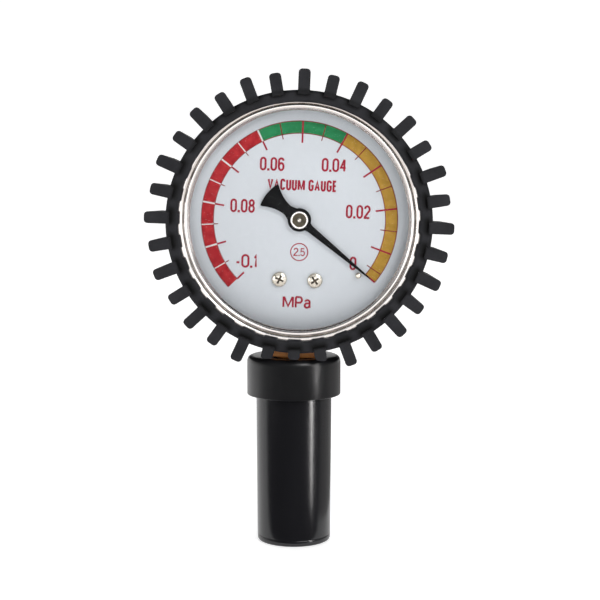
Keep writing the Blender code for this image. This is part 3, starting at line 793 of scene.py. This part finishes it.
def window_seal_and_shade_ring():
    # Painted shade: the seal reaches further in than the real gasket, as a dark ring for the shade
    # under the bezel's inner lip.
    corners = [(28.75, -7.2), (30.8, -7.2), (30.8, -6.5), (28.85, -6.5)]
    piece("window_seal_and_shade_ring", lathe(rounded(corners, [0.0, 0.1, 0.1, 0.0]), closed=True),
          "gasket_rubber", ["window_gasket"])


bezel()
window_seal_and_shade_ring()
case_back()
dial_screw = (-1.0, 2.05, 0.9, 0.8, 2.5)
case_screw = (1.0, 2.0, 1.0, 1.0, 5.5)
pan_screw("dial_screw_l", "dial_screw_left", *dial_screw, 24.0)
pan_screw("dial_screw_r", "dial_screw_right", *dial_screw, -38.0)
pan_screw("case_screw_l", "case_screw_left", *case_screw, 12.0)
pan_screw("case_screw_r", "case_screw_right", *case_screw, 57.0)


# ---- dial print

def scale_angle(hundredths):
    """Angle of a mark, in hundredths of a megapascal of vacuum."""
    if hundredths <= 0.0:
        return SCALE_ZERO
    if hundredths == 0.5:
        return SCALE_HALF_FIRST
    return SCALE_FIRST + SCALE_STEP * (hundredths - 1.0)


def ink_section(inner, outer, layer):
    """Section of a printed line between two radii, as (radius, y)."""
    front = DIAL_FRONT_Y - layer
    return [(inner, front), (outer, front), (outer, INK_BACK_Y), (inner, INK_BACK_Y)]


def arc_band(inner, outer, start, stop, layer):
    """Printed band of the dial between two radii and two angles."""
    steps = max(2, int(abs(stop - start) / 1.5))
    corners = ink_section(inner, outer, layer)
    bm = bmesh.new()
    return skin(bm, [[polar_vert(bm, radius, y, angle) for radius, y in corners]
                     for angle in spread(start, stop, steps)])


def tick(angle, inner, outer, width, layer):
    """Printed mark that points at the dial's centre."""
    out = Vector(polar(1.0, angle))
    side = Vector((-out.y, out.x)) * width / 2.0
    corners = [out * inner - side, out * outer - side, out * outer + side, out * inner + side]
    return slab([(c.x, c.y) for c in corners], DIAL_FRONT_Y - layer, INK_BACK_Y)


def bow(middle, reach, start, stop, steps=10):
    """Points of an elliptical arc in a glyph's unit box."""
    angles = [radians(value) for value in spread(start, stop, steps)]
    return [(middle[0] + reach[0] * cos(angle), middle[1] + reach[1] * sin(angle))
            for angle in angles]


CURL = 0.24


def upper_bow(start, stop):
    return bow((0.5, 1 - CURL), (0.5, CURL), start, stop)


def lower_bow(start, stop):
    return bow((0.5, CURL), (0.5, CURL), start, stop)


# Width of each character against a digit's, and its pen strokes in a unit box.
GLYPHS = {
    "0": (1.0, [upper_bow(0, 180) + lower_bow(180, 360) + [(1.0, 1 - CURL)]]),
    "1": (0.5, [[(0.0, 0.8), (0.45, 0.84), (0.8, 1.0), (0.8, 0.0)]]),
    "2": (1.0, [bow((0.5, 0.74), (0.5, 0.26), 172, -28) + [(0.0, 0.06), (0.0, 0.0), (1.0, 0.0)]]),
    "4": (1.0, [[(0.7, 0.0), (0.7, 1.0)], [(0.7, 1.0), (0.0, 0.3), (1.0, 0.3)]]),
    "5": (1.0, [[(0.95, 1.0), (0.14, 1.0), (0.06, 0.52)]
                + bow((0.5, 0.32), (0.5, 0.32), 128, -160)]),
    "6": (1.0, [bow((0.5, 0.76), (0.5, 0.24), 12, 180) + [(0.0, 0.3)],
                bow((0.5, 0.3), (0.5, 0.3), 180, 540, 20)]),
    "8": (1.0, [bow((0.5, 0.27), (0.5, 0.27), 90, 450, 20),
                bow((0.5, 0.77), (0.44, 0.23), -90, 270, 20)]),
    "-": (0.62, [[(0.0, 0.36), (1.0, 0.36)]]),
    "V": (1.2, [[(0.0, 1.0), (0.5, 0.07), (1.0, 1.0)]]),
    "A": (1.2, [[(0.0, 0.0), (0.5, 0.93), (1.0, 0.0)], [(0.2, 0.3), (0.8, 0.3)]]),
    "C": (1.1, [upper_bow(6, 180) + lower_bow(180, 354)]),
    "U": (1.08, [[(0.0, 1.0)] + lower_bow(180, 360) + [(1.0, 1.0)]]),
    "M": (1.55, [[(0.0, 0.0), (0.0, 1.0)], [(0.04, 1.0), (0.5, 0.09), (0.96, 1.0)],
                 [(1.0, 1.0), (1.0, 0.0)]]),
    "G": (1.12, [upper_bow(6, 180) + lower_bow(180, 350) + [(1.0, 0.46), (0.55, 0.46)]]),
    "E": (0.95, [[(1.0, 1.0), (0.0, 1.0), (0.0, 0.0), (1.0, 0.0)], [(0.0, 0.52), (0.88, 0.52)]]),
    "P": (1.1, [[(0.0, 0.0), (0.0, 1.0)],
                [(0.0, 1.0)] + bow((0.6, 0.73), (0.4, 0.27), 90, -90) + [(0.0, 0.46)]]),
    "a": (1.0, [bow((0.48, 0.53), (0.42, 0.21), 165, 0) + [(0.9, 0.12), (1.0, 0.0)],
                [(0.9, 0.46), (0.6, 0.42)] + bow((0.4, 0.21), (0.4, 0.21), 90, 270)
                + [(0.66, 0.04), (0.9, 0.2)]]),
    " ": (0.45, []),
}


def stroke(points, pen, layer):
    """A pen line as a closed flat solid, mitred at its corners."""
    front = DIAL_FRONT_Y - layer
    spots = [Vector(point) for point in points]
    closed = (spots[0] - spots[-1]).length < 0.001
    if closed:
        spots.pop()
    count = len(spots)
    bm = bmesh.new()
    loops = []
    for index, spot in enumerate(spots):
        before = spots[index - 1] if closed or index > 0 else None
        after = spots[(index + 1) % count] if closed or index < count - 1 else None
        ways = [(spot - before).normalized()] if before is not None else []
        ways += [(after - spot).normalized()] if after is not None else []
        normals = [Vector((-way.y, way.x)) for way in ways]
        middle = sum(normals, Vector((0.0, 0.0))).normalized()
        reach = pen / 2.0 / max(0.6, middle.dot(normals[0]))
        loop = []
        for sign, y in ((-1, front), (1, front), (1, INK_BACK_Y), (-1, INK_BACK_Y)):
            corner = spot + middle * reach * sign
            loop.append(bm.verts.new((corner.x, y, corner.y)))
        loops.append(loop)
    return skin(bm, loops, closed)


def label(text, centre, width, height, pen, gap):
    """Condensed lettering of one pen width, fitted to a width and height."""
    dot = pen * 1.15
    shares = sum(GLYPHS[letter][0] for letter in text if letter != ".")
    unit = (width - gap * (len(text) - 1) - text.count(".") * dot) / shares
    left = centre[0] - width / 2.0
    floor = centre[1] - height / 2.0
    shapes = []
    for letter in text:
        if letter == ".":
            x = left + dot / 2.0
            shapes.append(stroke([(x, floor), (x, floor + dot)], dot, TEXT_LAYER))
            left += dot + gap
            continue
        share, lines = GLYPHS[letter]
        inner = unit * share - pen
        for number, line in enumerate(lines):
            spots = [(left + pen / 2.0 + u * inner, floor + pen / 2.0 + v * (height - pen))
                     for u, v in line]
            shapes.append(stroke(spots, pen, TEXT_LAYER + STROKE_RISE * number))
        left += unit * share + gap
    return joined(shapes)


def ring_line(centre, inner, outer):
    return lathe(ink_section(inner, outer, TEXT_LAYER), steps=64,
                 centre=(centre[0], 0.0, centre[1]), closed=True)


def dial_print():
    amber_end = scale_angle(AMBER_LAST)
    green_end = scale_angle(GREEN_LAST)
    red_end = scale_angle(SCALE_LAST)
    zones = (("amber", SCALE_ZERO, amber_end), ("green", amber_end, green_end),
             ("red", green_end, red_end))
    for name, start, stop in zones:
        band = arc_band(BAND_INNER_R, BAND_OUTER_R, start, stop, BAND_LAYER)
        piece(f"zone_{name}", band, name, sharp=30.0)
    lines = [arc_band(radius - 0.11, radius + 0.11, SCALE_ZERO, red_end, LINE_LAYER)
             for radius in (BAND_INNER_R, BAND_OUTER_R)]
    major, minor, white = [], [], []
    for half in range(2 * SCALE_LAST + 1):
        angle = scale_angle(half / 2.0)
        in_red = 2 * GREEN_LAST <= half < 2 * SCALE_LAST
        outer = BAND_INNER_R if in_red or half == 2 * SCALE_LAST else BAND_OUTER_R
        if half % 2 == 0:
            major.append(tick(angle, MAJOR_TICK_R, outer, 0.46, TICK_LAYER))
        else:
            minor.append(tick(angle, MINOR_TICK_R, outer, 0.26, TICK_LAYER))
        if in_red:
            width = 0.42 if half % 2 == 0 else 0.26
            white.append(tick(angle, BAND_INNER_R, BAND_OUTER_R, width, TICK_LAYER))
    height, pen, gap = 3.6, 0.54, 0.2
    class_mark = (0.27, -8.5)
    figures = (("0.06", (-7.7, 14.4), 6.5), ("0.04", (8.6, 14.7), 6.6),
               ("0.08", (-15.1, 3.15), 6.5), ("0.02", (15.4, 2.7), 6.5),
               ("-0.1", (-13.6, -11.4), 5.8), ("0", (14.6, -10.95), 1.8))
    words = [label(text, centre, width, height, pen, gap) for text, centre, width in figures]
    words += [
        label("VACUUM GAUGE", (0.4, 9.15), 18.3, 3.05, 0.54, 0.17),
        label("2.5", class_mark, 3.05, 2.15, 0.29, 0.08),
        label("MPa", (0.15, -21.85), 7.6, 3.3, 0.52, 0.26),
        ring_line(class_mark, 2.12, 2.4),
    ]
    for name, shapes, finish in (
            ("zone_outlines", lines, "dark_red"), ("scale_major", major, "crimson"),
            ("scale_minor", minor, "dark_red"), ("scale_white", white, "white"),
            ("dial_lettering", words, "crimson")):
        piece(name, joined(shapes), finish, sharp=30.0)


def stop_pin():
    x, z = polar(PIN_R, PIN_ANGLE)
    corners = [(0.0, -6.3), (0.55, -6.3), (0.8, -6.0), (0.8, -4.85), (0.45, -4.85), (0.45, -3.7),
               (0.0, -3.7)]
    profile = rounded(corners, [0.0, 0.25, 0.25, 0.1, 0.0, 0.1, 0.0])
    piece("stop_pin_turned", lathe(profile, steps=48, centre=(x, 0.0, z)), "nickel",
          ["stop_pin"])


dial_print()
stop_pin()


# ---- pointer

def pointer_outline():
    """Needle along +X with a fan-shaped tail, drawn anticlockwise."""
    neck_angle = degrees(asin(0.95 / HUB_R))
    tail_neck = degrees(asin(1.35 / HUB_R))
    neck = polar(HUB_R, neck_angle)
    upper = [(NEEDLE_R, 0.0), (NEEDLE_R - 0.9, 0.2), (neck[0] + 0.7, 0.98)]
    upper += [polar(HUB_R, angle) for angle in spread(neck_angle + 6.0, 168.0 - tail_neck, 16)]
    flank = 12
    for step in range(flank - 1):
        share = step / flank
        reach = 4.0 + (10.2 - 4.0) * share
        upper.append((-reach, 1.42 + 2.25 * share ** 1.9))
    end_arc = [polar(TAIL_R, 180.0 - TAIL_SPREAD * 0.7 * (1.0 - step / 8)) for step in range(9)]
    corner = polar(TAIL_R, 180.0 - TAIL_SPREAD * 0.98)
    upper += rounded([upper[-1], corner, end_arc[0]], [0.0, 0.9, 0.0], 6)[1:-1]
    upper += end_arc
    return upper + [(x, -z) for x, z in reversed(upper[1:-1])]


def pointer():
    outline = [rotated(x, z, radians(SCALE_ZERO)) for x, z in pointer_outline()]
    needle = slab(outline, -5.7, -5.4)
    piece("pointer_hand", needle, "pointer_black", ["pointer_needle"], "pointer",
          round_edge=0.05, segments=2)
    rim = [(0.62, -6.0), (0.62, -6.55), (1.0, -6.6), (1.78, -6.6), (1.84, -6.86), (2.24, -6.86),
           (2.3, -6.78), (2.3, -6.0)]
    profile = rounded(rim, [0.0, 0.1, 0.1, 0.02, 0.05, 0.05, 0.06, 0.0])
    piece("pointer_hub_rim", lathe(profile, steps=96, closed=True), "chrome",
          ["pointer_boss"], "pointer")
    face = [(0.62, -6.64), (1.76, -6.64), (1.76, -6.62), (0.62, -6.62)]
    piece("pointer_hub_face", lathe(face, steps=96, closed=True), "boss_face", (),
          "pointer")
    dome = [(0.0, -7.15), (0.2, -7.12), (0.38, -7.04), (0.48, -6.96), (0.0, -6.96)]
    piece("arbor_end_dome", lathe(dome, steps=48), "nickel", (), "pointer")


pointer()


# ---- bourdon tube

def tube_section(roundness=6):
    """Flattened tube section as (across, along y): half-thickness across, half-width along."""
    flat = TUBE_HALF_WIDTH - TUBE_HALF_THICKNESS
    points = []
    for side in (1.0, -1.0):
        for step in range(roundness + 1):
            angle = radians(180.0 * step / roundness - 90.0)
            points.append((-side * TUBE_HALF_THICKNESS * sin(angle),
                           side * (flat + TUBE_HALF_THICKNESS * cos(angle))))
    return points


def tube_arc(start, stop):
    """Stretch of the tube between two angles."""
    bm = bmesh.new()
    return skin(bm, [[polar_vert(bm, TUBE_R + across, TUBE_Y + along, angle)
                      for across, along in tube_section()]
                     for angle in spread(start, stop, int(abs(stop - start) / 3.0))])


def bourdon():
    piece("tube_root", tube_arc(TUBE_START, TUBE_SPLIT), "bronze", ["bourdon_tube"])
    obj = finish_mesh("tube_curl", tube_arc(TUBE_SPLIT, TUBE_STOP), HEAD)
    obj.data.transform(obj.matrix_world)
    obj.matrix_world = BASE
    obj.data.materials.append(MATERIALS["bronze"])
    obj.data.shade_smooth()
    obj.data.set_sharp_from_angle(angle=radians(40.0))
    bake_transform(obj)


bourdon()


# ---- collar and barrel

def collar_and_barrel():
    corners = [(STEM_HOLE_R, COLLAR_TOP), (RECESS_R, COLLAR_TOP), (RECESS_R, COLLAR_RIM),
               (COLLAR_R, COLLAR_RIM), (COLLAR_R, COLLAR_BOTTOM),
               (COLLAR_BORE_R + 0.2, COLLAR_BOTTOM), (COLLAR_BORE_R, COLLAR_BOTTOM + 0.25),
               (COLLAR_BORE_R, COLLAR_CEILING), (STEM_HOLE_R, COLLAR_CEILING)]
    profile = rounded(corners, [0.0, 0.2, 0.3, 2.3, 0.35, 0.15, 0.15, 0.3, 0.0], 8)
    piece("collar", lathe(profile, "Z", closed=True), "matte_plastic",
          ["collar_cap"], matrix=BASE, sharp=40.0)
    corners = [(BARREL_BORE_R, BARREL_TOP), (BARREL_R, BARREL_TOP), (9.92, 1.75), (9.8, 1.62),
               (9.89, 1.49), (9.86, 0.0), (BARREL_BORE_R, 0.0)]
    profile = rounded(corners, [0.0, 0.4, 0.0, 0.0, 0.0, 1.1, 0.0], 7)
    profile[-1:] = [(BARREL_BORE_R + 0.5, 0.0), (BARREL_BORE_R + 0.15, 0.12), (BARREL_BORE_R, 0.5)]
    piece("barrel", lathe(profile, "Z", closed=True), "gloss_plastic",
          ["barrel_tube"], matrix=BASE, sharp=40.0)
    low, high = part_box("sealing_washer")
    bottom, top = low[2] / MM, high[2] / MM
    corners = [(STEM_HOLE_R, bottom), (WASHER_R, bottom), (WASHER_R, top), (STEM_HOLE_R, top)]
    piece("washer", lathe(rounded(corners, [0.0, 0.2, 0.2, 0.0]), "Z", 96, closed=True),
          "gasket_rubber", ["sealing_washer"], matrix=BASE)


collar_and_barrel()


# ---- nodes kept from the CAD model

# Each finish with the width of the softened edges, and the nodes that have them.
KEPT = (
    ("socket_brass_painted_lit", 0.35, ("stem_socket",)),
    ("nickel", 0.4, ("lock_nut",)),
    ("nickel", 0.06, ("movement_screw_upper", "movement_screw_lower")),
    ("steel", 0.12, ("lock_washer",)),
    ("steel", 0.05, ("sector_arbor",)),
    ("steel", 0.04, ("link_tail_pin", "link_tip_pin")),
    ("steel", 0.0, ("pinion_arbor",)),
    ("brass", 0.12, ("restrictor_screw",)),
    ("brass", 0.1, ("movement_front_plate", "movement_back_plate", "tip_block")),
    ("brass", 0.06, ("movement_pillar_left", "movement_pillar_right", "movement_pillar_lower")),
    ("brass", 0.05, ("dial_spacer_left", "dial_spacer_right", "hairspring_stud",
                     "hairspring_collet", "link_bar")),
    ("brass", 0.03, ("sector_gear",)),
    ("spring_bronze", 0.0, ("hairspring",)),
    ("clear_lens", 0.1, ("window_lens",)),
    ("dial_white", 0.05, ("dial_plate",)),
)
for finish, edge, node_names in KEPT:
    for node_name in node_names:
        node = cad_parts[node_name]
        for slot in node.material_slots:
            slot.material = MATERIALS[finish]
        if edge:
            bevel(node, edge, 2, 40.0)


# ---- studio

WHITE = (1.0, 1.0, 1.0)
BLACK = (0.0, 0.0, 0.0)
FLOOR_REACH = 3.0
CURVE_START = 0.9
CURVE_R = 0.6
CURVE_STEPS = 12
DOME_R = 2.8


def emitter(name, glow, strength, colour=BLACK, roughness=1.0, **inputs):
    return principled(name, colour, roughness, Emission_Color=(*glow, 1.0),
                      Emission_Strength=strength, **inputs)


def stage_floor():
    """Pale floor that curves up into a pale backdrop."""
    made, tree, shader = emitter("studio_sweep", WHITE, 0.62, (0.86, 0.86, 0.86), 0.7)
    roughen(tree, shader, noise(tree, place(tree), 3.0, 2.0), 0.3, 0.7, 0.65, 0.75)
    path = [(-FLOOR_REACH, 0.0), (CURVE_START, 0.0)]
    for step in range(1, CURVE_STEPS + 1):
        angle = radians(90.0 * step / CURVE_STEPS)
        path.append((CURVE_START + CURVE_R * sin(angle), CURVE_R * (1.0 - cos(angle))))
    path.append((CURVE_START + CURVE_R, FLOOR_REACH))
    bm = bmesh.new()
    rows = [[bm.verts.new((x, y, z)) for x in (-FLOOR_REACH, FLOOR_REACH)] for y, z in path]
    for first, second in zip(rows, rows[1:]):
        bm.faces.new((first[0], first[1], second[1], second[0]))
    sweep = new_object("sweep", bm, made)
    sweep.data.shade_smooth()


def hide_from(obj, *rays):
    for ray in rays:
        setattr(obj, f"visible_{ray}", False)


def surround():
    """Pale dome that only the camera sees, so that it changes no light."""
    made = emitter("studio_dome", WHITE, 1.0)[0]
    bm = bmesh.new()
    bmesh.ops.create_uvsphere(bm, u_segments=48, v_segments=24, radius=DOME_R)
    dome = new_object("dome", bm, made)
    hide_from(dome, "diffuse", "glossy", "transmission", "shadow")


def aim(obj, position, target, axis):
    obj.location = position
    facing = Vector(target) - Vector(position)
    obj.rotation_euler = facing.to_track_quat(axis, "Y").to_euler()


def lamp(name, position, target, size, power):
    """Area light that faces a target."""
    data = bpy.data.lights.new(name, "AREA")
    data.shape = "RECTANGLE"
    data.size, data.size_y = size
    data.energy = power
    obj = add_object(name, data)
    aim(obj, position, target, "-Z")
    return obj


def card(name, middle, size, target, material, receivers=()):
    """Card that only shows in reflections; receivers are the pieces that it lights, or all."""
    half_x, half_y = size[0] / 2.0, size[1] / 2.0
    bm = bmesh.new()
    corners = ((-half_x, -half_y), (half_x, -half_y), (half_x, half_y), (-half_x, half_y))
    bm.faces.new([bm.verts.new((x, y, 0.0)) for x, y in corners])
    obj = new_object(name, bm, material)
    aim(obj, middle, target, "Z")
    hide_from(obj, "camera", "diffuse", "shadow", "transmission")
    if receivers:
        group = bpy.data.collections.new(f"{name}_receivers")
        for receiver in receivers:
            group.objects.link(bpy.data.objects[receiver])
        obj.light_linking.receiver_collection = group


def glowing(name, colour, low, high, reach=0.1, axis="Y"):
    """Glow that rises from low to high over reach each side of a card's middle."""
    made, tree, shader = emitter(name, colour, 1.0, Specular_IOR_Level=0.0)
    along = components(tree, place(tree)).outputs[axis]
    tree.links.new(remap(tree, along, -reach, reach, low, high), shader.inputs["Emission Strength"])
    return made


BRIGHT_METAL = ("bezel", "bezel_groove_shade", "dial_screw_l", "dial_screw_r", "pointer_hub_rim",
                "arbor_end_dome", "stop_pin_turned")


def studio():
    stage_floor()
    surround()
    world = bpy.data.worlds.new("studio")
    world.use_nodes = True
    background = world.node_tree.nodes["Background"]
    set_inputs(background, {"Color": (*WHITE, 1.0), "Strength": 0.25})
    bpy.context.scene.world = world
    head = (0.0, 0.0, 0.085)
    lamp("key", (0.30, -0.50, 0.42), head, (0.30, 0.30), 1.6)
    lamp("left_fill", (-0.60, -0.05, 0.12), (0.0, 0.0, 0.07), (0.45, 0.6), 1.2)
    front_fill = lamp("front_fill", (0.0, -0.80, 0.09), head, (0.4, 0.4), 0.95)
    front_fill.visible_glossy = False
    white = (1.0, 0.98, 0.97)
    screens = (("screen_front", -90.0, 0.62, 0.90, 1.3), ("screen_left", -141.0, 0.60, 0.40, 2.6),
               ("screen_right", -28.0, 0.60, 0.66, 1.4))
    for name, direction, distance, width, strength in screens:
        x, y = polar(distance, direction)
        card(name, (x, y, 0.12), (width, 0.25), (0.0, 0.0, 0.12),
             glowing(name, white, strength, strength), BRIGHT_METAL)
    card("screen_high", (-0.12, -0.45, 0.45), (0.45, 0.30), head,
         glowing("screen_high", white, 0.9, 0.9), BRIGHT_METAL)
    card("panel_left", (-0.40, 0.10, 0.20), (0.62, 0.44), (0.0, 0.10, 0.10),
         glowing("panel_left", white, 0.1, 1.35, 0.31, "X"))
    card("panel_right", (0.38, 0.20, 0.20), (0.40, 0.44), (0.0, 0.12, 0.10),
         glowing("panel_right", white, 0.45, 0.45))
    card("floor_screen", (0.12, -0.46, 0.001), (0.84, 0.90), (0.12, -0.46, 1.0),
         glowing("floor_screen", (0.84, 0.79, 0.76), 1.0, 1.0), BRIGHT_METAL)
    card("floor_right", (0.31, 0.25, 0.001), (0.56, 0.52), (0.31, 0.25, 1.0),
         glowing("floor_right", white, 0.42, 0.42))
    dark = principled("dark_card", (0.004, 0.004, 0.004), 0.9)[0]
    card("ceiling_flag", (0.0, 0.0, 0.75), (1.6, 1.6), (0.0, 0.0, 0.0), dark)
    strips = (("barrel", 0.0185, 0.037, 18.0, 52.0), ("collar", 0.069, 0.064, 26.0, 26.0))
    for receiver, height, length, low, high in strips:
        card(f"{receiver}_strip", (0.0375, -0.030, height), (0.0024, length), (0.0, 0.0, height),
             glowing(f"{receiver}_strip", white, low, high, length / 2.0), (receiver,))
    camera = bpy.data.cameras.new("camera")
    camera.lens = CAMERA_LENS
    camera.sensor_width = SENSOR_WIDTH
    camera.clip_start = 0.01
    holder = add_object("camera", camera)
    holder.location = CAMERA_PLACE
    holder.rotation_euler = (radians(90.0 - CAMERA_DIP), 0.0, radians(CAMERA_TURN))
    bpy.context.scene.camera = holder
    bpy.context.scene.view_settings.view_transform = "Standard"


studio()
